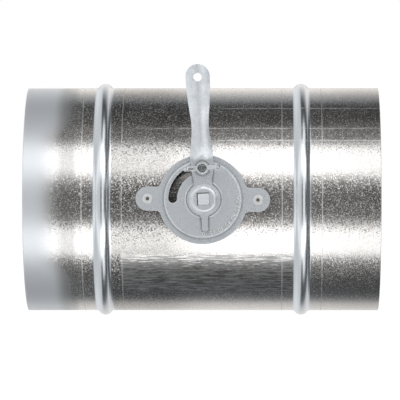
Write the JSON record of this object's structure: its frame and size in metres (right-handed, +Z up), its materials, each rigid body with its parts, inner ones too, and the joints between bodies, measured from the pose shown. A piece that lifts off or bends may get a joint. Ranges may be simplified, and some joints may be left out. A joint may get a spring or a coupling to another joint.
{
  "type": "volume control damper",
  "caption": "Round duct damper: beaded tube with a disc blade on a square shaft, turned by a lever over a slotted quadrant and locked by a wing nut.",
  "frame": {"origin": "centre of the inlet spigot's end, on the duct's axis", "axes": "+X along the duct from inlet to outlet, +Z up along the closed lever, the lever and quadrant on the -Y side"},
  "size_m": [0.25, 0.1833, 0.1761],
  "materials": {
    "galvanised_duct": "bright galvanised sheet with a fine grain",
    "galvanised_blade": "galvanised sheet",
    "zinc_pressing": "satin zinc plate on pressed steel",
    "zinc_hardware": "bright zinc plate",
    "zinc_casting": "bright zinc plate on a casting",
    "bright_bar": "zinc plated bar, sawn end",
    "nylon": "natural nylon",
    "rivet_aluminium": "plain aluminium",
    "mandrel_steel": "broken steel stem"
  },
  "bodies": {
    "casing": {"duct_tube": "galvanised_duct", "quadrant_plate": "zinc_pressing", "quadrant_rivet_left": "rivet_aluminium", "quadrant_rivet_right": "rivet_aluminium", "rivet_mandrel_left": "mandrel_steel", "rivet_mandrel_right": "mandrel_steel"},
    "rotor": {"lever_handle": "zinc_pressing", "clamp_bolt": "zinc_hardware", "square_shaft": "bright_bar", "shaft_bush_front": "nylon", "shaft_bush_rear": "nylon", "damper_blade": "galvanised_blade", "blade_saddle_front": "zinc_pressing", "blade_saddle_rear": "zinc_pressing", "saddle_screw_1": "zinc_hardware", "saddle_screw_2": "zinc_hardware", "saddle_screw_3": "zinc_hardware", "saddle_screw_4": "zinc_hardware", "saddle_nut_1": "zinc_hardware", "saddle_nut_2": "zinc_hardware", "saddle_nut_3": "zinc_hardware", "saddle_nut_4": "zinc_hardware"},
    "washer": {"clamp_washer": "zinc_hardware"},
    "nut": {"wing_nut": "zinc_casting"}
  },
  "joints": [
    {"name": "damper_turn", "type": "hinge", "parent": "casing", "child": "rotor", "pos_m": [0.1265, -0.07965, 0], "axis": [0, -1, 0], "range_deg": [-2.75, 86]},
    {"name": "washer_lift", "type": "slide", "parent": "rotor", "child": "washer", "axis": [0, -1, 0], "range_m": [0, 0.001]},
    {"name": "wing_nut_turn", "type": "hinge", "parent": "washer", "child": "nut", "pos_m": [0.12546, -0.0865, 0.02158], "axis": [0, -1, 0], "range_deg": [0, 450]}
  ],
  "couplings": [
    {"joint": "washer_lift", "follows": "wing_nut_turn", "m_per_rad": 0.00012732}
  ]
}
